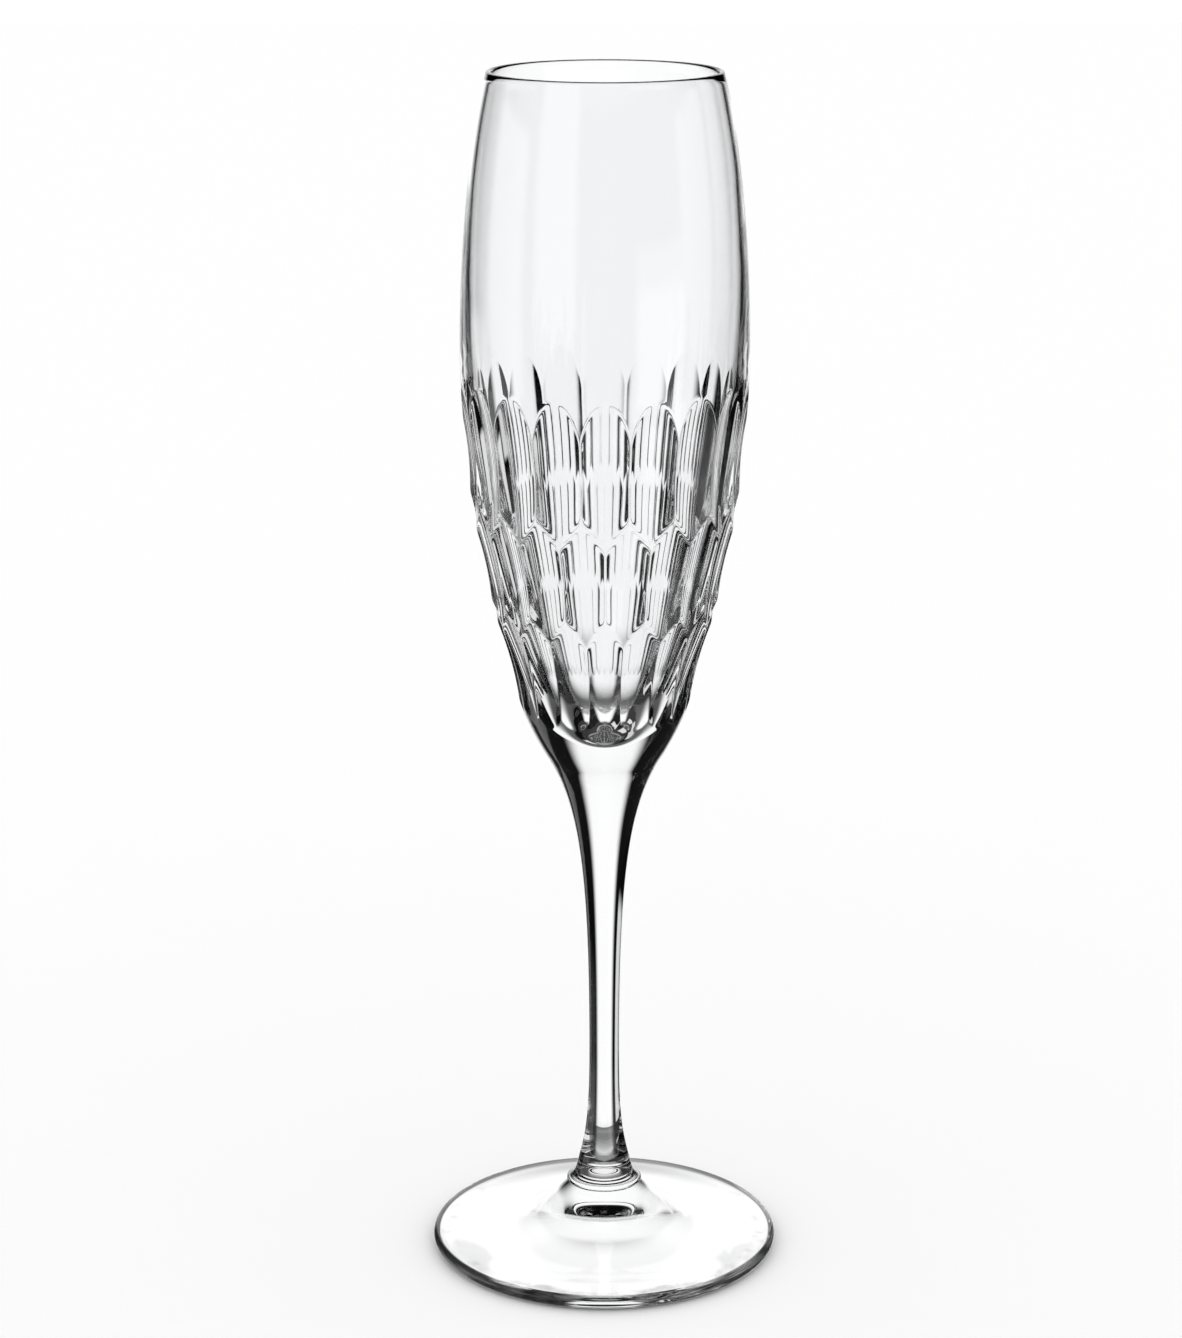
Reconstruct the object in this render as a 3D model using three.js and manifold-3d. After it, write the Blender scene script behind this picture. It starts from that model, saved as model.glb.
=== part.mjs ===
// Champagne flute in cut crystal: a tulip bowl, a drawn stem and a disc foot, three
// pieces of glass that are joined hot. Millimetres, +Z up, origin at the middle of the
// surface that the flute stands on. The front of the flute faces -Y.
import * as THREE from 'three';
import { mergeVertices } from 'three/addons/utils/BufferGeometryUtils.js';
import Module from 'manifold-3d';

const wasm = await Module();
wasm.setup();

// ---- Driving dimensions ---------------------------------------------------------------

// Foot
const footRadius = 35.3;
const footEdgeThickness = 3;
const footEdgeRounding = 1.2;
const plateRise = 3; // how much the top of the plate climbs from its edge to the hump
const plateThickness = 3.4; // where the hump begins
const humpRadius = 16.5; // where the plate turns up into the hump
const humpHeight = 13.2; // height of the weld between foot and stem
const humpTopInset = 0.25; // the stem's lip stands this much proud of the hump
const restingRingInset = 1.8; // from the edge of the foot in to the resting ring
const restingRingWidth = 3;
const humpFloor = 5.9; // glass between the weld and the top of the hollow under the foot
const hollowInset = 2; // the hollow turns up this much closer to the axis than the hump

// Stem
const stemLength = 91.8;
const lipRadius = 7.66;
const lipThickness = 0.5;
const trumpetRadius = 5.75; // stem radius just above the lip
const trumpetHeight = 2.8; // height of that place above the weld
const waistRadius = 3.05;
const waistHeight = 28.8; // height of the thinnest place above the weld

// Bowl, outside
const bowlLength = 135;
const weldRadius = 11.65; // radius of the weld between stem and bowl
const weldSlope = 0.62; // radius gained per millimetre of height at that weld
const weldFullness = 0.782; // share of the widening that the pull at the weld covers
const bellyRadius = 28.15;
const bellyBelowRim = 53;
const rimRadius = 22.8;
const rimSlope = 0.25; // radius lost per millimetre of height at the rim
const rimFullness = 0.682; // share of the narrowing that the pull at the rim covers

// Bowl, inside
const rimWall = 1.2;
const cavityBellyWall = 1.75;
const cavityBellyBelowRim = 45;
const bottomThickness = 5; // glass between the inside of the bowl and the weld

// Wheel cuts: rows of hollows with sharp ridges between them
const cutsPerRow = 18;
const cutDepth = 1.8; // how far the wheel goes below the uncut surface
const cutsBelowRim = [73.5, 96.5, 114]; // middle of each row; every second row is staggered
const wheelRadius = 75;
const wheelRimRounding = 11; // radius of the wheel's rounded rim, across its width
const wheelWidth = 14;

// Facets of the round surfaces
const aroundBowl = 72;
const aroundStem = 32;
const aroundFoot = 56;
const aroundWheel = 120;

// ---- Places worked out from them ------------------------------------------------------

const bowlWeldHeight = humpHeight + stemLength;
const rimHeight = bowlWeldHeight + bowlLength;
const bellyHeight = rimHeight - bellyBelowRim;
const rimShoulder = rimHeight - rimWall / 2; // where the rounding of the rim begins
const ringOuter = footRadius - restingRingInset;
const ringInner = ringOuter - restingRingWidth;

// The pulls of the bowl's outline follow its radii, so it never swells past the belly.
const weldPull = (weldFullness * (bellyRadius - weldRadius)) / weldSlope;
const rimPull = (rimFullness * (bellyRadius - rimRadius)) / rimSlope;
const axis = (height) => new THREE.Vector2(0, height);
const at = (radius, height) => new THREE.Vector2(radius, height);

// A smooth curve from one place to another. Each handle is a step away from its own end.
function sweep(start, startHandle, endHandle, end) {
  const first = start.clone().add(startHandle);
  const second = end.clone().add(endHandle);
  return new THREE.CubicBezierCurve(start, first, second, end);
}

// A quarter or half turn, from one angle to another in degrees.
function turn(centre, radius, from, to) {
  const toRadians = THREE.MathUtils.degToRad;
  const clockwise = to < from;
  return new THREE.EllipseCurve(
    centre.x, centre.y, radius, radius, toRadians(from), toRadians(to), clockwise);
}

// Points of several curves and single places in a row, each shared end once.
function outline(...pieces) {
  const points = [];
  for (const [place, steps] of pieces) {
    for (const point of place instanceof THREE.Curve ? place.getPoints(steps) : [place]) {
      const last = points.at(-1);
      if (!last || last.distanceTo(point) > 1e-4) points.push(point);
    }
  }
  return points;
}

// ---- From three.js to manifold-3d and back --------------------------------------------

// A solid of revolution about +Z from an outline of (radius, height) places.
function revolve(points, steps) {
  const geometry = new THREE.LatheGeometry(points, steps);
  geometry.rotateX(Math.PI / 2); // the lathe turns about +Y
  return geometry;
}

// Merges the vertices that a lathe leaves double along its seam and on its axis.
function welded(geometry) {
  geometry.deleteAttribute('normal');
  geometry.deleteAttribute('uv');
  const position = geometry.getAttribute('position');
  for (let i = 0; i < position.count; i += 1) {
    if (Math.hypot(position.getX(i), position.getY(i)) < 1e-6) {
      position.setXY(i, 0, 0);
    }
  }
  return mergeVertices(geometry, 1e-5);
}

function toSolid(geometry) {
  const closed = welded(geometry);
  const mesh = new wasm.Mesh({
    numProp: 3,
    vertProperties: new Float32Array(closed.getAttribute('position').array),
    triVerts: new Uint32Array(closed.getIndex().array),
  });
  return new wasm.Manifold(mesh);
}

function fromSolid(solid) {
  const { vertProperties, triVerts } = solid.getMesh();
  const geometry = new THREE.BufferGeometry();
  geometry.setAttribute('position', new THREE.BufferAttribute(vertProperties, 3));
  geometry.setIndex(new THREE.BufferAttribute(triVerts, 1));
  return geometry;
}

// ---- Bowl -----------------------------------------------------------------------------

const weldToBelly = sweep(
  at(weldRadius, bowlWeldHeight), at(weldSlope, 1).multiplyScalar(weldPull),
  at(0, -17.7), at(bellyRadius, bellyHeight));
const bellyToRim = sweep(
  at(bellyRadius, bellyHeight), at(0, 15),
  at(rimSlope, -1).multiplyScalar(rimPull), at(rimRadius, rimShoulder));

// The place on a rising curve at a given height.
function placeAt(curve, height) {
  let low = 0;
  let high = 1;
  for (let i = 0; i < 40; i += 1) {
    const middle = (low + high) / 2;
    if (curve.getPoint(middle).y < height) low = middle;
    else high = middle;
  }
  return { point: curve.getPoint(low), direction: curve.getTangent(low) };
}

function bowlBlank() {
  const bottom = bowlWeldHeight + bottomThickness;
  const cavityBellyHeight = rimHeight - cavityBellyBelowRim;
  const cavityRadius = placeAt(bellyToRim, cavityBellyHeight).point.x - cavityBellyWall;
  const cavityBelly = at(cavityRadius, cavityBellyHeight);
  const rimMiddle = at(rimRadius - rimWall / 2, rimShoulder);
  const rimInside = at(rimRadius - rimWall, rimShoulder);
  return outline(
    [axis(bowlWeldHeight)],
    [weldToBelly, 14],
    [bellyToRim, 8],
    [turn(rimMiddle, rimWall / 2, 0, 180), 4],
    [sweep(rimInside, at(rimSlope, -1).multiplyScalar(0.96 * rimPull), at(0, 14), cavityBelly), 6],
    [sweep(cavityBelly, at(0, -32), at(15, 0), axis(bottom)), 12],
  );
}

// The cutting wheel: a disc with a rounded rim, its axle along X, its middle at the origin.
function wheel() {
  const half = wheelWidth / 2;
  const lean = THREE.MathUtils.radToDeg(Math.asin(half / wheelRimRounding));
  const rim = turn(at(wheelRadius - wheelRimRounding, 0), wheelRimRounding, -lean, lean);
  const disc = revolve(outline([axis(-half)], [rim, 6], [axis(half)]), aroundWheel);
  return toSolid(disc.rotateY(Math.PI / 2));
}

// Presses the wheel square onto the uncut surface at one height, to the full depth.
function cutBowl() {
  let bowl = toSolid(revolve(bowlBlank(), aroundBowl));
  const tool = wheel();
  const pitch = 360 / cutsPerRow;
  cutsBelowRim.forEach((drop, row) => {
    const { point, direction } = placeAt(weldToBelly, rimHeight - drop);
    const reach = wheelRadius - cutDepth;
    const out = point.x + direction.y * reach;
    const up = point.y - direction.x * reach;
    const stagger = row % 2 === 0 ? 0 : pitch / 2;
    for (let i = 0; i < cutsPerRow; i += 1) {
      bowl = bowl.subtract(tool.translate([0, -out, up]).rotate([0, 0, i * pitch + stagger]));
    }
  });
  return fromSolid(bowl);
}

// ---- Stem -----------------------------------------------------------------------------

function stemGeometry() {
  const waist = at(waistRadius, humpHeight + waistHeight);
  const trumpet = at(trumpetRadius, humpHeight + trumpetHeight);
  const lipTop = at(lipRadius, humpHeight + lipThickness);
  return welded(revolve(outline(
    [axis(humpHeight)],
    [at(lipRadius - lipThickness, humpHeight)],
    [turn(at(lipRadius - lipThickness, humpHeight + lipThickness), lipThickness, -90, 0), 3],
    [sweep(lipTop, at(-0.9, 0.35), at(0.3, -1.1), trumpet), 4],
    [sweep(trumpet, at(-1.6, 6.4), at(0, -17), waist), 8],
    [sweep(waist, at(0, 40.3), at(-weldSlope, -1).multiplyScalar(10), weldToBelly.v0), 14],
    [axis(bowlWeldHeight)],
  ), aroundStem));
}

// ---- Foot -----------------------------------------------------------------------------

function footGeometry() {
  const plateTop = footEdgeThickness + plateRise;
  const edgeTop = footEdgeThickness - footEdgeRounding;
  const edge = footRadius - footEdgeRounding;
  const plateEnd = at(edge, footEdgeThickness);
  const humpTop = at(lipRadius - lipThickness - humpTopInset, humpHeight);
  const hollowTop = axis(humpHeight - humpFloor);
  const hollowFlank = at(humpRadius - hollowInset, plateTop - plateThickness);
  return welded(revolve(outline(
    [sweep(hollowTop, at(8, 0), at(-5, 1.9), hollowFlank), 7],
    [sweep(hollowFlank, at(5, -1.9), at(-6, 0), at(ringInner, 0)), 4],
    [at(ringOuter, 0)],
    [sweep(at(ringOuter, 0), at(0.9, 0), at(0, -0.8), at(footRadius, edgeTop)), 3],
    [turn(at(edge, edgeTop), footEdgeRounding, 0, 90), 3],
    [sweep(plateEnd, at(-6, 0.6), at(6, -1), at(humpRadius, plateTop)), 3],
    [sweep(at(humpRadius, plateTop), at(-4.5, 0.75), at(2.6, -2.6), humpTop), 6],
    [axis(humpHeight)],
  ), aroundFoot));
}

// ---- The flute ------------------------------------------------------------------------

function piece(name, geometry, colour) {
  const material = new THREE.MeshStandardMaterial({
    color: colour, roughness: 0.03, metalness: 0, transparent: true, opacity: 0.35,
  });
  const mesh = new THREE.Mesh(geometry, material);
  mesh.name = name;
  return mesh;
}

const flute = new THREE.Group();
flute.name = 'champagne_flute';
flute.add(piece('bowl', cutBowl(), 0xf1f4f6));
flute.add(piece('stem', stemGeometry(), 0xeef1f4));
flute.add(piece('foot', footGeometry(), 0xeff3f4));

export default flute;
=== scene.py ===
# %% [markdown]
# # A champagne flute in cut crystal
#
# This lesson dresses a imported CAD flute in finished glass. The real flute is made of three
# pieces of hot glass: a blown bowl whose lower half is cut on a wheel, a drawn stem and a
# pressed foot. Each piece is made again here as a fine mesh, because glass bends light by
# the slope of its surface, and the flat facets of a CAD solid would show at once.

# %% Load the frame
import math
from functools import partial

import bpy
import numpy as np
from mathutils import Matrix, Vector
from mathutils.geometry import interpolate_bezier


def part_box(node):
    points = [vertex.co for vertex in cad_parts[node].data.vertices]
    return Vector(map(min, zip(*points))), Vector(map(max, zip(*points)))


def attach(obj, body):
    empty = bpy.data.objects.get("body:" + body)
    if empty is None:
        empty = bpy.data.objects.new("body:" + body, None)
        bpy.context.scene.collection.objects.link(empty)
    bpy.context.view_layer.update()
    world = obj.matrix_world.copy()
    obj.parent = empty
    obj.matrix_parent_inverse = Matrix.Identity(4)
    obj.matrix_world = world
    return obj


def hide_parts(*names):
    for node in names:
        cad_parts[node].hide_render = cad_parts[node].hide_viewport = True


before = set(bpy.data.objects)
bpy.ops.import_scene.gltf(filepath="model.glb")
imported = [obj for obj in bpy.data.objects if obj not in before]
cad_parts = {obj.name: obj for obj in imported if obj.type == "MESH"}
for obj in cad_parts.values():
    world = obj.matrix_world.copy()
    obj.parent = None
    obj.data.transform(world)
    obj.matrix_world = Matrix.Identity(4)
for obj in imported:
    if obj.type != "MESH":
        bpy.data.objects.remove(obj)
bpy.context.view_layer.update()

# %% [markdown]
# ## Camera
#
# A tall glass is usually shown from a little above its rim with a long lens, so that its
# sides stay upright and the mouth and the foot are both seen as ellipses. A constraint
# could aim the camera at the glass, but a fixed place and pitch are easier to read.

# %% Set up the camera
CAMERA_PLACE = (-0.0027, -0.6616, 0.3042)
CAMERA_PITCH = 15.37  # degrees below level
CAMERA_LENS = 93.0  # millimetres
SENSOR_WIDTH = 36.0

camera_data = bpy.data.cameras.new("tall_glass_camera")
camera_data.lens = CAMERA_LENS
camera_data.sensor_width = SENSOR_WIDTH
camera = bpy.data.objects.new("tall_glass_camera", camera_data)
camera.location = CAMERA_PLACE
camera.rotation_euler = (math.radians(90 - CAMERA_PITCH), 0, 0)
bpy.context.scene.collection.objects.link(camera)
bpy.context.scene.camera = camera
print("camera", CAMERA_LENS, "mm lens,", CAMERA_PITCH, "degrees down")

# %% [markdown]
# ## Places taken from the frame
#
# The two welds, the rim and the edge of the foot belong to the CAD model, so they are read
# from the frame and not typed again. Glassmakers give sizes in millimetres, so the outlines
# are drawn in millimetres and scaled once, when a mesh is made.

# %% Read the welds, the rim and the edge of the foot
MM = 0.001


def top_of(node):
    """Height of the top of a CAD piece, in millimetres."""
    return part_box(node)[1].z / MM


FOOT_WELD = top_of("foot")
BOWL_WELD = top_of("stem")
RIM = top_of("bowl")
FOOT_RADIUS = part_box("foot")[1].y / MM
for what, size in (("foot weld", FOOT_WELD), ("bowl weld", BOWL_WELD), ("rim", RIM),
                   ("foot radius", FOOT_RADIUS)):
    print(what, round(size, 2), "mm")

# %% [markdown]
# ## Outlines
#
# Every piece of this flute is round, so each begins as an outline of places, given as
# radius and height. A curve object with handles would also do. Blender can hand back the
# points of one Bezier stretch directly, though, and a stretch needs only its two ends and
# a pull away from each, which is how the smooth sweep of blown glass is easiest to steer.


# %% Stretches and arcs of an outline
def stretch(start, start_pull, end_pull, end, steps):
    """Points of a smooth curve; each pull is a step away from its own end."""
    first, last = Vector(start), Vector(end)
    first_handle = first + Vector(start_pull)
    last_handle = last + Vector(end_pull)
    points = interpolate_bezier(first, first_handle, last_handle, last, steps + 1)
    return np.array([(point.x, point.y) for point in points])


def arc(centre, radius, first, last, steps):
    """Points of an arc between two angles in degrees."""
    turn = np.radians(np.linspace(first, last, steps + 1))
    return np.stack([centre[0] + radius * np.cos(turn), centre[1] + radius * np.sin(turn)], 1)


def joined(*parts):
    """One outline from parts that meet, with each shared end kept once."""
    later = [part[1:] for part in parts[1:]]
    return np.concatenate([parts[0], *later])


print("a stretch of four steps:", stretch((0, 0), (1, 0), (0, -1), (2, 2), 4).round(2).tolist())

# %% [markdown]
# ## Which way the surface faces
#
# Glass shows its normals more than its places: a mesh whose normals are averaged from its
# faces gives wavy reflections. The slope of the surface is therefore measured along both
# directions of the grid, to second order, and the two slopes are crossed. A Subdivision
# modifier would smooth the normals too, but it would also round off the ridges of the cuts.


# %% Slopes and normals of a grid of places
TINY = 1e-9  # keeps a division by nothing away


def slope_along(places, axis, wraps=False):
    """Direction of the surface along one axis of a grid of places."""
    places = np.moveaxis(places, axis, 0)
    if wraps:
        places = np.concatenate([places[-1:], places, places[:1]])
    steps = np.diff(places, axis=0)
    sizes = np.maximum(np.linalg.norm(steps, axis=-1, keepdims=True), TINY)
    rates = steps / sizes
    before, after = sizes[:-1], sizes[1:]
    middle = (before * rates[1:] + after * rates[:-1]) / (before + after)
    if wraps:
        return np.moveaxis(middle, 0, axis)
    first = 2 * rates[:1] - middle[:1]
    last = 2 * rates[-1:] - middle[-1:]
    return np.moveaxis(np.concatenate([first, middle, last]), 0, axis)


def grid_normals(grid):
    """Outward directions of a grid of rings."""
    around = slope_along(grid, 1, wraps=True)
    upwards = slope_along(grid, 0)
    normals = np.cross(around, upwards)
    return normals / np.maximum(np.linalg.norm(normals, axis=-1, keepdims=True), TINY)


ring = np.linspace(0, 2 * np.pi, 8, endpoint=False)
tube = np.stack([np.stack([np.sin(ring), -np.cos(ring), ring * 0 + z], 1) for z in range(3)])
print("the front of a tube faces", (grid_normals(tube)[1, 0] + 0.0).round(3).tolist())

# %% [markdown]
# ## From an outline to a mesh
#
# A Screw modifier could turn an outline about the axis, but the cut bowl needs rings that
# rise and fall with its pattern. One helper therefore takes rings in which each place has
# its own radius and height, counted from the front of the flute. A cap closes each end with
# a fan of faces that meet on the axis.


# %% Faces of the rings and of the caps
def band_faces(count, columns):
    """Four-sided faces between each ring and the next."""
    here = np.arange(columns)
    ahead = (here + 1) % columns
    bands = []
    for low in range(0, (count - 1) * columns, columns):
        high = low + columns
        bands.append(np.stack([low + here, low + ahead, high + ahead, high + here], 1))
    return np.concatenate(bands).tolist()


def cap_faces(ring_start, columns, centre, low_end):
    """A fan from one ring to a place on the axis."""
    here = ring_start + np.arange(columns)
    ahead = ring_start + (np.arange(columns) + 1) % columns
    first, second = (ahead, here) if low_end else (here, ahead)
    return np.stack([first, second, np.full(columns, centre)], 1).tolist()


print("a cap on a ring of three:", cap_faces(0, 3, 3, True))


# %% Build a closed mesh from rings
def glass_piece(name, rings, angles, materials, band_slots, low_cap, high_cap):
    """Mesh from rings of (radius, height); a cap is (height, material slot, facing)."""
    radius, height = rings[..., 0], rings[..., 1]
    grid = np.stack([radius * np.sin(angles), -radius * np.cos(angles), height], 2) * MM
    count, columns = radius.shape
    places = grid.reshape(-1, 3).tolist()
    normals = grid_normals(grid).reshape(-1, 3).tolist()
    faces = band_faces(count, columns)
    slots = np.repeat(band_slots, columns).tolist()
    last_ring = (count - 1) * columns
    for (cap_height, slot, faces_up), ring_start in ((low_cap, 0), (high_cap, last_ring)):
        faces += cap_faces(ring_start, columns, len(places), ring_start == 0)
        slots += [slot] * columns
        places.append([0, 0, cap_height * MM])
        normals.append([0, 0, faces_up])
    mesh = bpy.data.meshes.new(name)
    mesh.from_pydata(places, [], faces)
    for material in materials:
        mesh.materials.append(material)
    mesh.polygons.foreach_set("material_index", slots)
    mesh.polygons.foreach_set("use_smooth", [True] * len(faces))
    mesh.update()
    mesh.normals_split_custom_set_from_vertices(normals)
    piece = bpy.data.objects.new(name, mesh)
    bpy.context.scene.collection.objects.link(piece)
    print(name, len(places), "vertices,", len(faces), "faces")
    return piece


def turned(outline, columns):
    """Rings of a piece without cuts, and the angle of each column."""
    angles = np.linspace(0, 2 * np.pi, columns, endpoint=False)
    rings = np.repeat(outline[:, None, :], columns, axis=1)
    return rings, angles


# %% [markdown]
# ## Crystal
#
# Lead crystal is nearly colourless and bends light a little more than window glass, which
# is why its edges turn black so readily. A Glass shader would do, but the Principled shader
# with full transmission exports as well. Each piece was shaped in its own way and keeps a
# slight unevenness from it, so every finish has its own bump, from noise that is measured
# in millimetres on the piece. The bump is shallow: deep waves would look like water.

# %% Clear crystal with a finish of its own
CRYSTAL_IOR = 1.545
CRYSTAL_TINT = (0.992, 0.994, 1.0, 1)


def crystal(name, wave, depth, lengthwise=1.0, detail=1.0):
    """Crystal whose surface swells by a depth over waves of a length, in millimetres."""
    material = bpy.data.materials.new(name)
    material.use_nodes = True
    nodes, links = material.node_tree.nodes, material.node_tree.links
    shader = nodes["Principled BSDF"]
    shader.inputs["Base Color"].default_value = CRYSTAL_TINT
    shader.inputs["Transmission Weight"].default_value = 1.0
    shader.inputs["IOR"].default_value = CRYSTAL_IOR
    shader.inputs["Roughness"].default_value = 0.0
    place = nodes.new("ShaderNodeTexCoord")
    scaled = nodes.new("ShaderNodeMapping")
    scaled.inputs["Scale"].default_value = (1, 1, 1 / lengthwise)
    swell = nodes.new("ShaderNodeTexNoise")
    swell.inputs["Scale"].default_value = 1 / (wave * MM)
    swell.inputs["Detail"].default_value = detail
    bump = nodes.new("ShaderNodeBump")
    bump.inputs["Strength"].default_value = 1.0
    bump.inputs["Distance"].default_value = depth * MM
    links.new(place.outputs["Object"], scaled.inputs["Vector"])
    links.new(scaled.outputs["Vector"], swell.inputs["Vector"])
    links.new(swell.outputs["Fac"], bump.inputs["Height"])
    links.new(bump.outputs["Normal"], shader.inputs["Normal"])
    print(name, "waves of", wave, "mm,", depth, "mm deep")
    return material


# %% [markdown]
# ## Four finishes
#
# The blown wall has long, lazy waves that the flame of the fire polish leaves. The wheel
# cuts are dipped in acid to clear them, and the acid leaves a fine orange peel. The drawn
# stem has faint lines that run along its length, as pulled toffee has. The pressed foot has
# the chill of the tool that spread it.

# %% Mix the four finishes
fire_polished = crystal("fire_polished_wall", wave=14, depth=0.06)
acid_polished = crystal("acid_polished_cut", wave=2.4, depth=0.008, detail=2)
drawn = crystal("drawn_crystal", wave=1.6, depth=0.006, lengthwise=22)
pressed = crystal("pressed_crystal", wave=9, depth=0.035)

# %% [markdown]
# ## The ring that rubs on the table
#
# The flute stands on a narrow ring under the edge of the foot. Years of tables leave it a
# little dull, in patches. The patches are painted with noise on the roughness. A separate
# slot for these few faces keeps the rest of the foot clear.

# %% Dull the resting ring in patches
rubbed = crystal("rubbed_resting_ring", wave=0.5, depth=0.002, detail=3)
rubbed_nodes, rubbed_links = rubbed.node_tree.nodes, rubbed.node_tree.links
patches = rubbed_nodes.new("ShaderNodeTexNoise")
patches.inputs["Scale"].default_value = 1 / (3 * MM)
dulling = rubbed_nodes.new("ShaderNodeMapRange")
dulling.inputs["From Min"].default_value = 0.4
dulling.inputs["From Max"].default_value = 0.7
dulling.inputs["To Min"].default_value = 0.02
dulling.inputs["To Max"].default_value = 0.22
rubbed_place = rubbed_nodes["Texture Coordinate"].outputs["Object"]
rubbed_links.new(rubbed_place, patches.inputs["Vector"])
rubbed_links.new(patches.outputs["Fac"], dulling.inputs["Value"])
rubbed_links.new(dulling.outputs["Result"], rubbed_nodes["Principled BSDF"].inputs["Roughness"])
print("resting ring is dull in patches of about 3 mm")

# %% [markdown]
# ## The welds
#
# Where two pieces are joined hot, the glass runs together and nothing is left to see. The
# pieces stay separate meshes here, so each has a face at the weld. If those faces were
# glass, they would bend and reflect light in the middle of solid crystal. A Transparent
# shader lets light straight through, as if the weld were not there.

# %% Make the welds invisible
weld = bpy.data.materials.new("hot_weld")
weld.use_nodes = True
weld_nodes = weld.node_tree.nodes
weld_nodes.remove(weld_nodes["Principled BSDF"])
clear = weld_nodes.new("ShaderNodeBsdfTransparent")
weld_surface = weld_nodes["Material Output"].inputs["Surface"]
weld.node_tree.links.new(clear.outputs["BSDF"], weld_surface)
print("weld faces let light straight through")

# %% [markdown]
# ## The blown bowl, before it is cut
#
# The bowl is a tulip: it leaves the stem as a widening cone, swells to a belly and closes a
# little towards the rim, which keeps the bubbles in. Two stretches that meet upright at the
# belly give that shape. Each pull is a share of how far the radius still has to go, so the
# outline never swells past the belly. The stretches have many steps, because the cuts are
# measured from this surface and any facet in it would show on the ridges.

# %% Draw the outside of the blown bowl
WELD_RADIUS, WELD_SLOPE, WELD_FULLNESS = 11.65, 0.62, 0.782
BELLY_RADIUS, BELLY = 28.15, RIM - 53
RIM_RADIUS, RIM_SLOPE, RIM_FULLNESS = 22.8, 0.25, 0.682
RIM_WALL = 1.2
SHOULDER = RIM - RIM_WALL / 2  # where the rounding of the rim begins
BELLY_PULL_DOWN, BELLY_PULL_UP = (0, -17.7), (0, 15)
FINE_BELOW, FINE_ABOVE = 1500, 1000  # steps of the outline that the cuts are measured from
weld_pull = WELD_FULLNESS * (BELLY_RADIUS - WELD_RADIUS) / WELD_SLOPE
rim_pull = RIM_FULLNESS * (BELLY_RADIUS - RIM_RADIUS) / RIM_SLOPE

blown_outline = joined(
    stretch((WELD_RADIUS, BOWL_WELD), (WELD_SLOPE * weld_pull, weld_pull), BELLY_PULL_DOWN,
            (BELLY_RADIUS, BELLY), FINE_BELOW),
    stretch((BELLY_RADIUS, BELLY), BELLY_PULL_UP, (RIM_SLOPE * rim_pull, -rim_pull),
            (RIM_RADIUS, SHOULDER), FINE_ABOVE),
)


def uncut(height):
    """Radius of the bowl before cutting."""
    return np.interp(height, blown_outline[:, 1], blown_outline[:, 0])


print("belly", 2 * BELLY_RADIUS, "mm across, rim", 2 * RIM_RADIUS, "mm across")

# %% [markdown]
# ## The wheel
#
# The lower half of the bowl is cut with a stone wheel that has a rounded rim. The cutter
# presses the glass square onto the wheel, moves on by an eighteenth of a turn, and
# presses again. So the place of the axle follows from the slope of the bowl, the radius of
# the wheel and the depth of the cut. The rows are staggered, like tiles on a roof.

# %% Place the wheel for each row
CUTS_PER_ROW = 18
CUT_PITCH = 2 * np.pi / CUTS_PER_ROW
CUT_DEPTH = 1.8
ROW_MIDDLES = [RIM - 73.5, RIM - 96.5, RIM - 114]  # every second row is staggered
WHEEL_RADIUS = 75.0
WHEEL_ROUNDING = 11.0  # radius of the rounded rim, across the wheel


def axle_place(height):
    """Radius and height of the axle when the wheel presses on the bowl at a height."""
    slope = uncut(height + 0.5) - uncut(height - 0.5)
    lean = math.atan(slope)
    reach = WHEEL_RADIUS - CUT_DEPTH
    return uncut(height) + reach * math.cos(lean), height - reach * math.sin(lean)


AXLES = [axle_place(height) for height in ROW_MIDDLES]
print("axles at", [(round(float(out), 1), round(float(up), 1)) for out, up in AXLES])

# %% [markdown]
# ## One hollow
#
# A Boolean modifier could take the wheel out of the bowl, but its faces would follow the
# facets of the wheel. Here the hollow is written as a radius for every angle and height.
# How far the wheel's rim has fallen away depends on that same radius, so the radius is
# guessed and put right a dozen times, after which it no longer changes.


# %% Radius of the glass that the wheel leaves
CORRECTIONS = 12


def hollow(row, angle, height, neighbour=0):
    """Radius of the nearest hollow of a row, or with neighbour 1 of the one beside it."""
    out, up = AXLES[row]
    stagger = 0 if row % 2 == 0 else CUT_PITCH / 2
    turn = (angle - stagger + CUT_PITCH / 2) % CUT_PITCH - CUT_PITCH / 2
    turn = np.abs(turn) - neighbour * CUT_PITCH
    radius = np.full(np.shape(height), out - WHEEL_RADIUS)
    for _ in range(CORRECTIONS):
        across = radius * np.sin(turn)
        rounding = np.sqrt(np.maximum(WHEEL_ROUNDING**2 - across**2, 1))
        wheel_rim = WHEEL_RADIUS - WHEEL_ROUNDING + rounding
        chord = np.sqrt(np.maximum(wheel_rim**2 - (height - up) ** 2, 1))
        radius = (out - chord) / np.cos(turn)
    return radius


deepest = hollow(0, np.zeros(1), np.array([ROW_MIDDLES[0]]))[0]
print("first row is", round(float(uncut(ROW_MIDDLES[0]) - deepest), 2), "mm deep")

# %% [markdown]
# ## Polished ridges
#
# Two neighbouring hollows meet in a ridge, and the glass that stays is whatever no wheel
# reached: the least of all the radii. Acid takes the sharpness off, which is what makes the
# ridges glitter in a white line. The least is therefore blended over about a tenth of a
# millimetre. A Bevel modifier would need a clean edge loop along every ridge.

# %% Blend the hollows with the skin of the bowl
RIDGE_POLISH = 0.12  # millimetres, between two hollows
EDGE_POLISH = 0.03  # millimetres, between a hollow and the uncut skin


def soft_least(surfaces, polish):
    """The least of several radii, with the ridge between them rounded."""
    least = np.minimum.reduce(surfaces)
    shares = sum(np.exp((least - surface) / polish) for surface in surfaces)
    return least - polish * np.log(shares)


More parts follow.
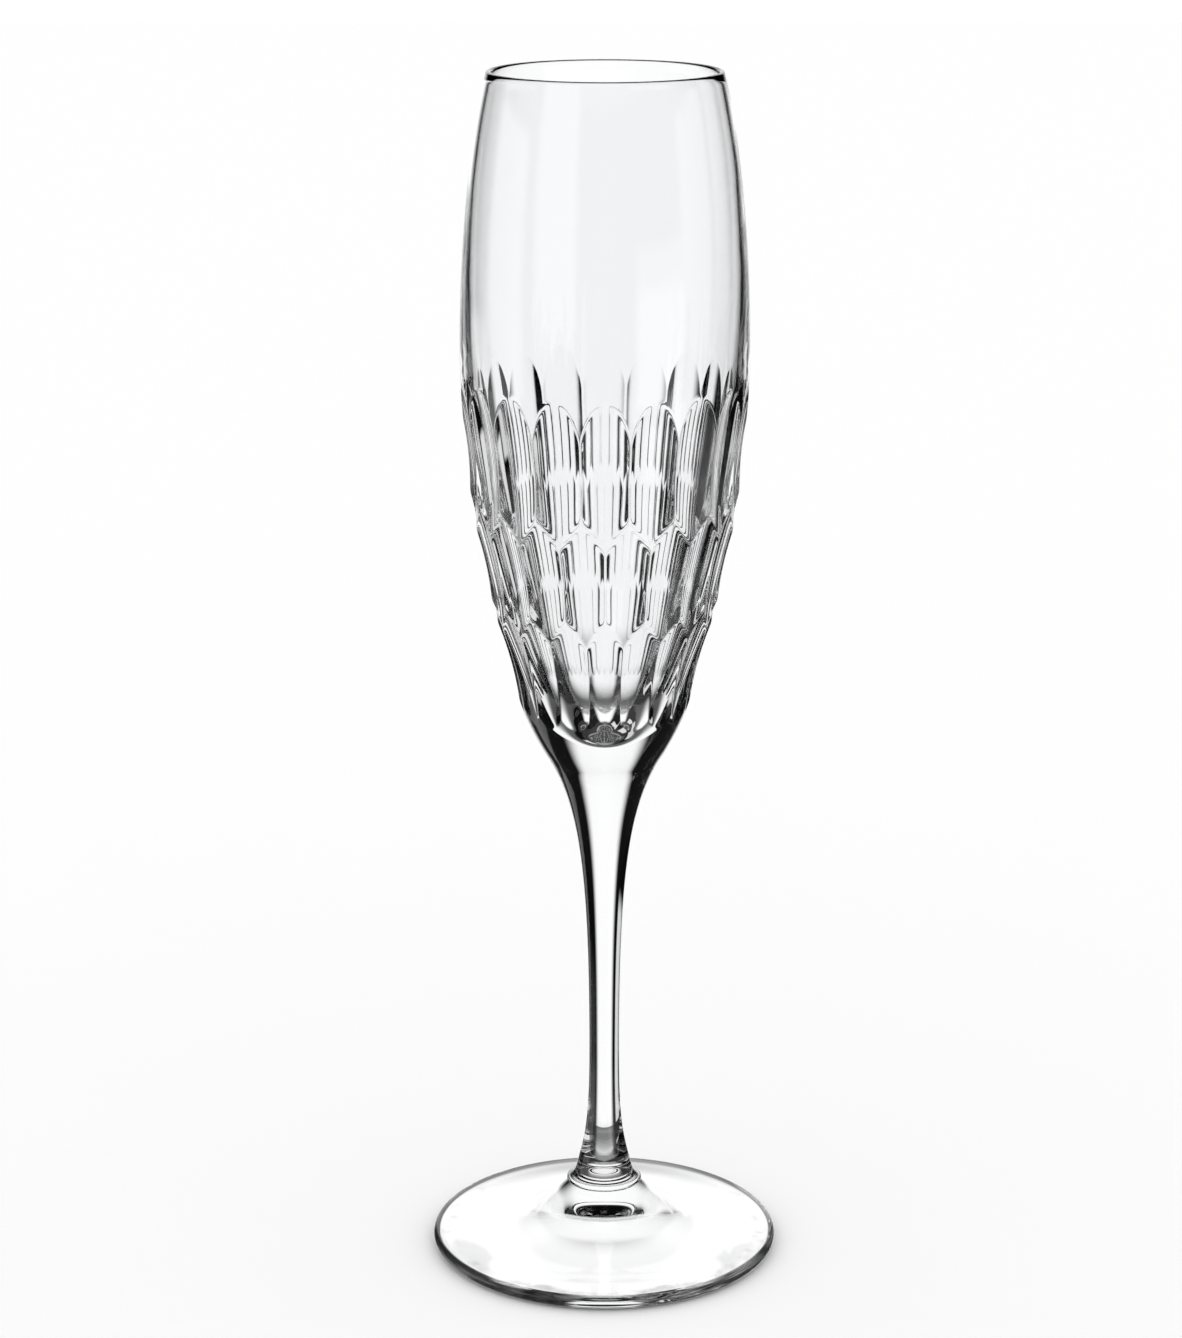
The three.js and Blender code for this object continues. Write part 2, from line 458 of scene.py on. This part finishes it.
def cut_surface(angle, height):
    """Radius of the finished bowl, cut or uncut."""
    rows = range(len(ROW_MIDDLES))
    hollows = [hollow(row, angle, height, side) for row in rows for side in (0, 1)]
    return soft_least([uncut(height), soft_least(hollows, RIDGE_POLISH)], EDGE_POLISH)


ridge = cut_surface(np.array([CUT_PITCH / 2]), np.array([ROW_MIDDLES[0]]))[0]
print("ridge stands", round(float(ridge - deepest), 2), "mm above its hollows")

# %% [markdown]
# ## Columns that crowd at the ridges
#
# The upright ridges lie every twenty degrees in each row, and the stagger puts one every
# ten degrees in all. The columns of the mesh stand close together there and wide apart in
# the middle of a hollow. Even columns would need three times as many for the same sparkle.

# %% Choose the columns of the bowl
NEAR_RIDGE = np.array([0, 0.25, 0.6, 1.2, 2.2, 3.5, 5, 6.5, 7.8, 8.8, 9.4, 9.75])  # degrees
ridge_angles = np.degrees(CUT_PITCH / 2) * np.arange(2 * CUTS_PER_ROW)
bowl_angles = np.radians((ridge_angles[:, None] + NEAR_RIDGE).ravel())
print(len(bowl_angles), "columns round the bowl")

# %% [markdown]
# ## Rings that follow the pattern
#
# Each row ends above in a line of arches and meets the next row in a zigzag. If the rings
# of the mesh were level, every one of these edges would turn into a staircase. So the edges
# are found first, by halving the gap between a place above and a place below, and the rings
# are spread between them.


# %% Find the edges between the rows
HALVINGS = 40
BELOW_SCALLOPS = BOWL_WELD + 3  # a height that no wheel reaches


def edge_between(upper, lower, high, low):
    """Height at each angle where the lower surface takes over from the upper one."""
    top, bottom = np.full_like(bowl_angles, high), np.full_like(bowl_angles, low)
    for _ in range(HALVINGS):
        middle = (top + bottom) / 2
        above_edge = upper(bowl_angles, middle) < lower(bowl_angles, middle)
        top = np.where(above_edge, middle, top)
        bottom = np.where(above_edge, bottom, middle)
    return (top + bottom) / 2


def skin(angle, height):
    """The uncut surface, which is the same at every angle."""
    return uncut(height)


first_row, second_row, third_row = (partial(hollow, row) for row in range(len(ROW_MIDDLES)))
arches = edge_between(skin, first_row, BELLY, ROW_MIDDLES[0])
upper_zigzag = edge_between(first_row, second_row, ROW_MIDDLES[0], ROW_MIDDLES[1])
lower_zigzag = edge_between(second_row, third_row, ROW_MIDDLES[1], ROW_MIDDLES[2])
scallops = edge_between(third_row, skin, ROW_MIDDLES[2], BELOW_SCALLOPS)
for name, line in (("arches", arches), ("upper zigzag", upper_zigzag),
                   ("lower zigzag", lower_zigzag), ("scallops", scallops)):
    print(name, "from", round(line.min(), 1), "to", round(line.max(), 1), "mm")

# %% [markdown]
# ## The outside of the cut bowl
#
# From the weld upwards the rings pass plain glass, three rows of cuts, and plain glass
# again. Within a row they crowd towards both edges, where the surface turns. The material
# changes at the arches and at the scallops, exactly where the wheel stopped.


# %% Spread the rings over the outside
def crowded(steps):
    """Shares from 0 to 1 that crowd towards both ends."""
    return (1 - np.cos(np.linspace(0, np.pi, steps + 1))) / 2


WALL, CUT, BOWL_WELD_FACE = 0, 1, 2  # material slots of the bowl
shares_above_arches = np.linspace(0, 1, 41) ** 1.3  # closer together near the arches
weld_line = np.full_like(bowl_angles, BOWL_WELD)
shoulder_line = np.full_like(bowl_angles, SHOULDER)

ring_heights, bowl_slots = [weld_line], []
for low, high, shares, slot in (
    (weld_line, scallops, crowded(14), WALL),
    (scallops, lower_zigzag, crowded(18), CUT),
    (lower_zigzag, upper_zigzag, crowded(20), CUT),
    (upper_zigzag, arches, crowded(22), CUT),
    (arches, shoulder_line, shares_above_arches, WALL),
):
    ring_heights += [low + (high - low) * share for share in shares[1:]]
    bowl_slots += [slot] * (len(shares) - 1)
ring_heights = np.array(ring_heights)
ring_radii = cut_surface(np.broadcast_to(bowl_angles, ring_heights.shape), ring_heights)
outside_rings = np.stack([ring_radii, ring_heights], axis=2)
print(len(outside_rings), "rings outside")

# %% [markdown]
# ## The inside of the bowl
#
# The inside is never cut, so it is plain and round. The wall is thin at the rim and grows
# towards the stem, because gravity drew the hot glass down and because the cutter needs
# something to cut. The rim itself is melted round. One outline runs over the rim and down
# to the middle of the bottom.

# %% Draw the rim and the inside
CAVITY_BELLY, CAVITY_BELLY_WALL = RIM - 45, 1.75
CAVITY_BOTTOM = BOWL_WELD + 5
cavity_radius = uncut(CAVITY_BELLY) - CAVITY_BELLY_WALL
CAVITY_RIM_PULL = 0.96 * rim_pull  # the inside narrows a little faster than the outside
CAVITY_SIDE_PULL, CAVITY_BOTTOM_PULL = (0, -32), (15, 0)

inside_outline = joined(
    arc((RIM_RADIUS - RIM_WALL / 2, SHOULDER), RIM_WALL / 2, 0, 180, 10),
    stretch((RIM_RADIUS - RIM_WALL, SHOULDER), (RIM_SLOPE * CAVITY_RIM_PULL, -CAVITY_RIM_PULL),
            (0, 14), (cavity_radius, CAVITY_BELLY), 24),
    stretch((cavity_radius, CAVITY_BELLY), CAVITY_SIDE_PULL, CAVITY_BOTTOM_PULL,
            (0, CAVITY_BOTTOM), 60),
)[1:-1]
inside_rings = np.repeat(inside_outline[:, None, :], len(bowl_angles), axis=1)
cavity_wall = np.interp(ROW_MIDDLES[0], inside_outline[::-1, 1], inside_outline[::-1, 0])
print("glass behind the first row", round(float(deepest - cavity_wall), 2), "mm")

# %% Make the cut bowl
bowl = glass_piece(
    "cut_bowl", np.concatenate([outside_rings, inside_rings]), bowl_angles,
    [fire_polished, acid_polished, weld], bowl_slots + [WALL] * len(inside_rings),
    low_cap=(BOWL_WELD, BOWL_WELD_FACE, -1), high_cap=(CAVITY_BOTTOM, WALL, 1))

# %% [markdown]
# ## The drawn stem
#
# The stem is pulled out of a gather on the bottom of the bowl, so it is solid, thinnest a
# third of the way up, and it flows into the bowl without a step. At the foot it spreads in
# a small trumpet with a rounded lip, where the hot end was pressed onto the foot. It could
# be one long curve, but the lip is where the eye goes, so it has stretches of its own.

# %% Make the drawn stem
LIP_RADIUS, LIP_THICKNESS = 7.66, 0.5
TRUMPET = (5.75, FOOT_WELD + 2.8)
WAIST = (3.05, FOOT_WELD + 28.8)
lip_middle = (LIP_RADIUS - LIP_THICKNESS, FOOT_WELD + LIP_THICKNESS)
lip_top = (LIP_RADIUS, FOOT_WELD + LIP_THICKNESS)

stem_outline = joined(
    arc(lip_middle, LIP_THICKNESS, -90, 0, 10),
    stretch(lip_top, (-0.9, 0.35), (0.3, -1.1), TRUMPET, 20),
    stretch(TRUMPET, (-1.6, 6.4), (0, -17), WAIST, 40),
    stretch(WAIST, (0, 40.3), (-WELD_SLOPE * 10, -10), (WELD_RADIUS, BOWL_WELD), 70),
)
STEM_SIDE, STEM_WELD_FACE = 0, 1  # material slots of the stem
stem_rings, stem_angles = turned(stem_outline, 128)
stem = glass_piece(
    "drawn_stem", stem_rings, stem_angles, [drawn, weld],
    [STEM_SIDE] * (len(stem_outline) - 1),
    low_cap=(FOOT_WELD, STEM_WELD_FACE, -1), high_cap=(BOWL_WELD, STEM_WELD_FACE, 1))

# %% [markdown]
# ## The pressed foot
#
# The foot is a blob of hot glass that is pressed to a disc and spun flat. Its top climbs
# gently from a rounded edge to a hump under the stem. Its underside rises into a hollow
# below that hump, which keeps the rough middle off the table. The hollow matters: light
# from the table is caught between it and the hump, and draws a small black lozenge.

# %% Draw the underside and the edge of the foot
EDGE_THICKNESS, EDGE_ROUNDING = 3.0, 1.2
RING_OUTER, RING_WIDTH = FOOT_RADIUS - 1.8, 3.0
RING_INNER = RING_OUTER - RING_WIDTH
HUMP_START = (16.5, EDGE_THICKNESS + 3.0)
HOLLOW_TOP = FOOT_WELD - 5.9
HOLLOW_FLANK = (HUMP_START[0] - 2.0, HUMP_START[1] - 3.4)
edge_middle = (FOOT_RADIUS - EDGE_ROUNDING, EDGE_THICKNESS - EDGE_ROUNDING)
edge_side = (FOOT_RADIUS, EDGE_THICKNESS - EDGE_ROUNDING)

underside = joined(
    stretch((0, HOLLOW_TOP), (8, 0), (-5, 1.9), HOLLOW_FLANK, 40),
    stretch(HOLLOW_FLANK, (5, -1.9), (-6, 0), (RING_INNER, 0), 30),
)[1:]
resting_ring = np.linspace((RING_INNER, 0), (RING_OUTER, 0), 4)
foot_edge = joined(
    stretch((RING_OUTER, 0), (0.9, 0), (0, -0.8), edge_side, 10),
    arc(edge_middle, EDGE_ROUNDING, 0, 90, 10),
)
print("hollow", round(HOLLOW_TOP, 1), "mm high, ring", round(2 * RING_OUTER, 1), "mm across")

# %% [markdown]
# ## The top of the foot
#
# The hump ends a hair inside the lip of the stem, so that the lip stands proud all the way
# round, as it does where a hot stem is pressed onto a cooler foot.

# %% Make the pressed foot
HUMP_INSET = 0.25
plate_end = (edge_middle[0], EDGE_THICKNESS)
hump_top = (lip_middle[0] - HUMP_INSET, FOOT_WELD)

foot_top = joined(
    stretch(plate_end, (-6, 0.6), (6, -1.0), HUMP_START, 30),
    stretch(HUMP_START, (-4.5, 0.75), (2.6, -2.6), hump_top, 40),
)
foot_outline = joined(underside, resting_ring, foot_edge, foot_top)
FOOT_SIDE, FOOT_WELD_FACE, RUBBED = 0, 1, 2  # material slots of the foot
foot_slots = np.full(len(foot_outline) - 1, FOOT_SIDE)
ring_first = len(underside) - 1
ring_last = ring_first + len(resting_ring) - 1
foot_slots[ring_first:ring_last] = RUBBED
foot_rings, foot_angles = turned(foot_outline, 216)
foot = glass_piece(
    "pressed_foot", foot_rings, foot_angles, [pressed, weld, rubbed], foot_slots,
    low_cap=(HOLLOW_TOP, FOOT_SIDE, -1), high_cap=(FOOT_WELD, FOOT_WELD_FACE, 1))

# %% [markdown]
# ## Joining the pieces to the frame
#
# Nothing on a flute moves, so all three pieces ride on the root. Each takes the place of
# the CAD piece of the same part, which is hidden.

# %% Ride and replace
for piece, node, slot in ((bowl, "bowl", "cut_crystal"), (stem, "stem", "drawn_crystal"),
                          (foot, "foot", "pressed_crystal")):
    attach(piece, "root")
    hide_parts(node)
    print(piece.name, "replaces", node)

# %% [markdown]
# ## Floor
#
# The flute stands on a plain white surface. The floor lies a tenth of a millimetre below
# the resting ring, so that no two faces share one place. Glass must not see this floor,
# because a lit white plane would shine into every edge from below. What the glass sees
# instead is painted on the world, further down.

# %% Lay the floor
floor_mesh = bpy.data.meshes.new("floor")
FLOOR_HALF = 3.0  # metres
floor_corners = [(FLOOR_HALF * side, FLOOR_HALF * depth, 0)
                 for side, depth in ((-1, -1), (1, -1), (1, 1), (-1, 1))]
floor_mesh.from_pydata(floor_corners, [], [(0, 1, 2, 3)])
floor = bpy.data.objects.new("floor", floor_mesh)
floor.location.z = -0.1 * MM
bpy.context.scene.collection.objects.link(floor)
matt_white = bpy.data.materials.new("matt_white_floor")
matt_white.use_nodes = True
floor_shader = matt_white.node_tree.nodes["Principled BSDF"]
floor_shader.inputs["Base Color"].default_value = (1, 1, 1, 1)
floor_shader.inputs["Roughness"].default_value = 1.0
floor_shader.inputs["Specular IOR Level"].default_value = 0.0
floor_mesh.materials.append(matt_white)
floor.visible_transmission = False
floor.visible_glossy = False
print("floor", 2 * FLOOR_HALF, "m wide, at", round(floor.location.z / MM, 2), "mm")

# %% [markdown]
# ## Light for glass
#
# Glass has no colour of its own, so it is lit by what stands round it. A bright window
# behind the flute fills it with white, and dark walls at the sides give it black edges: a
# bright field. Area lamps could do this, but glass finds lamps slowly and with noise. The
# world is seen by every ray at once, so its brightness is set here by direction.

# %% Start the world, and read the direction of each ray
world = bpy.data.worlds.new("bright_field")
bpy.context.scene.world = world
world.use_nodes = True
world_nodes, world_links = world.node_tree.nodes, world.node_tree.links
background = world_nodes["Background"]
background.inputs["Color"].default_value = (1, 1, 1, 1)
direction = world_nodes.new("ShaderNodeTexCoord")
split = world_nodes.new("ShaderNodeSeparateXYZ")
world_links.new(direction.outputs["Generated"], split.inputs[0])
east, north, up = split.outputs
print("world nodes:", [node.name for node in world_nodes])


# %% Small sums for the world
def sum_node(operation, *values):
    """A Math node fed by numbers and by other nodes."""
    node = world_nodes.new("ShaderNodeMath")
    node.operation = operation
    for socket, value in zip(node.inputs, values):
        if isinstance(value, (int, float)):
            socket.default_value = value
        else:
            world_links.new(value, socket)
    return node.outputs[0]


def fade(value, dark, bright):
    """0 at one value and 1 at another, with a soft step between."""
    node = world_nodes.new("ShaderNodeMapRange")
    node.interpolation_type = "SMOOTHSTEP"
    world_links.new(value, node.inputs["Value"])
    node.inputs["From Min"].default_value = dark
    node.inputs["From Max"].default_value = bright
    return node.outputs["Result"]


level_share = sum_node("SQRT", sum_node("SUBTRACT", 1.0001, sum_node("MULTIPLY", up, up)))
height_angle = sum_node("MULTIPLY", sum_node("ARCSINE", up), 180 / math.pi)
print("directions are split into a level part and a height in degrees")

# %% [markdown]
# ## Sides of the room
#
# A window or a panel fills a range of directions to either side of its middle. The middle
# is given in degrees from straight behind the flute, turning towards its left. The edges
# are soft, as those of a real diffuser are.


# %% Windows and panels by direction
PANEL_SOFTNESS = 1.5  # degrees to each side of an edge


def beside(azimuth, inner, outer):
    """1 within the inner half-angle of a direction, fading to 0 at the outer one."""
    turn = math.radians(azimuth)
    ahead = sum_node("ADD", sum_node("MULTIPLY", east, -math.sin(turn)),
                     sum_node("MULTIPLY", north, math.cos(turn)))
    nearness = sum_node("DIVIDE", ahead, level_share)
    return fade(nearness, math.cos(math.radians(outer)), math.cos(math.radians(inner)))


def panel(azimuth, inner, outer, low, high, brightness):
    """A soft-edged panel between two heights in degrees."""
    above = fade(height_angle, low - PANEL_SOFTNESS, low + PANEL_SOFTNESS)
    under = fade(height_angle, high + PANEL_SOFTNESS, high - PANEL_SOFTNESS)
    shape = sum_node("MULTIPLY", beside(azimuth, inner, outer), sum_node("MULTIPLY", above, under))
    return sum_node("MULTIPLY", shape, brightness)


print("panels have edges", 2 * PANEL_SOFTNESS, "degrees soft")

# %% [markdown]
# ## The window, the table and three small panels
#
# The window stands behind the flute and reaches down as the white sweep that the flute
# stands on, where it grows dimmer. The table in front is pale but unlit. Small panels at
# the sides give the thin white lines that lie inside the black edges of real crystal.

# %% Hang the window and the panels
SWEEP_DIM, SWEEP_GAIN = 0.13, 0.95  # brightness under the flute, and what the window adds
TABLE_DIM, TABLE_GAIN = 0.04, 0.25  # brightness all round, and what the front adds
WALLS = 0.003

sweep_light = sum_node("MULTIPLY", fade(height_angle, -50, -29), SWEEP_GAIN)
sweep_light = sum_node("ADD", sweep_light, SWEEP_DIM)
window = sum_node("MULTIPLY", beside(1.2, 16, 28), fade(height_angle, 45, 36))
light = sum_node("MULTIPLY", window, sweep_light)
table = sum_node("ADD", sum_node("MULTIPLY", beside(180, 12, 40), TABLE_GAIN), TABLE_DIM)
light = sum_node("MAXIMUM", light, sum_node("MULTIPLY", table, fade(height_angle, -24, -30)))
for side_panel in (  # azimuth, inner and outer half-angle, low and high edge, brightness
    panel(90, 14, 23, -22, 9, 0.7),
    panel(-135, 14, 24, -34, -3, 0.85),
    panel(52, 10, 16, -42, -13, 0.8),
):
    light = sum_node("MAXIMUM", light, side_panel)
light = sum_node("MAXIMUM", light, WALLS)
print("window, table and three panels take", len(world_nodes), "nodes")

# %% [markdown]
# ## A white backdrop
#
# Seen directly, the backdrop is white on every side, and the floor is lit evenly by it.
# Only the rays that pass through glass or bounce off it meet the window and the dark
# walls. The Light Path node tells these rays apart.

# %% Keep the backdrop and the floor white
ray = world_nodes.new("ShaderNodeLightPath")
plain_rays = sum_node("MAXIMUM", ray.outputs["Is Camera Ray"], ray.outputs["Is Diffuse Ray"])
world_links.new(sum_node("MAXIMUM", light, plain_rays), background.inputs["Strength"])
print("backdrop is white for plain rays")

# %% [markdown]
# ## Enough bounces for cut glass
#
# A ray can cross many faces of cut crystal, and each crossing counts as a bounce. With too
# few bounces the cuts fill with false black. The Standard view transform keeps a white
# backdrop white.

# %% Allow many bounces
scene = bpy.context.scene
scene.view_settings.view_transform = "Standard"
scene.cycles.max_bounces = 40
scene.cycles.transmission_bounces = 40
scene.cycles.glossy_bounces = 24
scene.cycles.transparent_max_bounces = 32
print("rays may cross", scene.cycles.transmission_bounces, "faces")
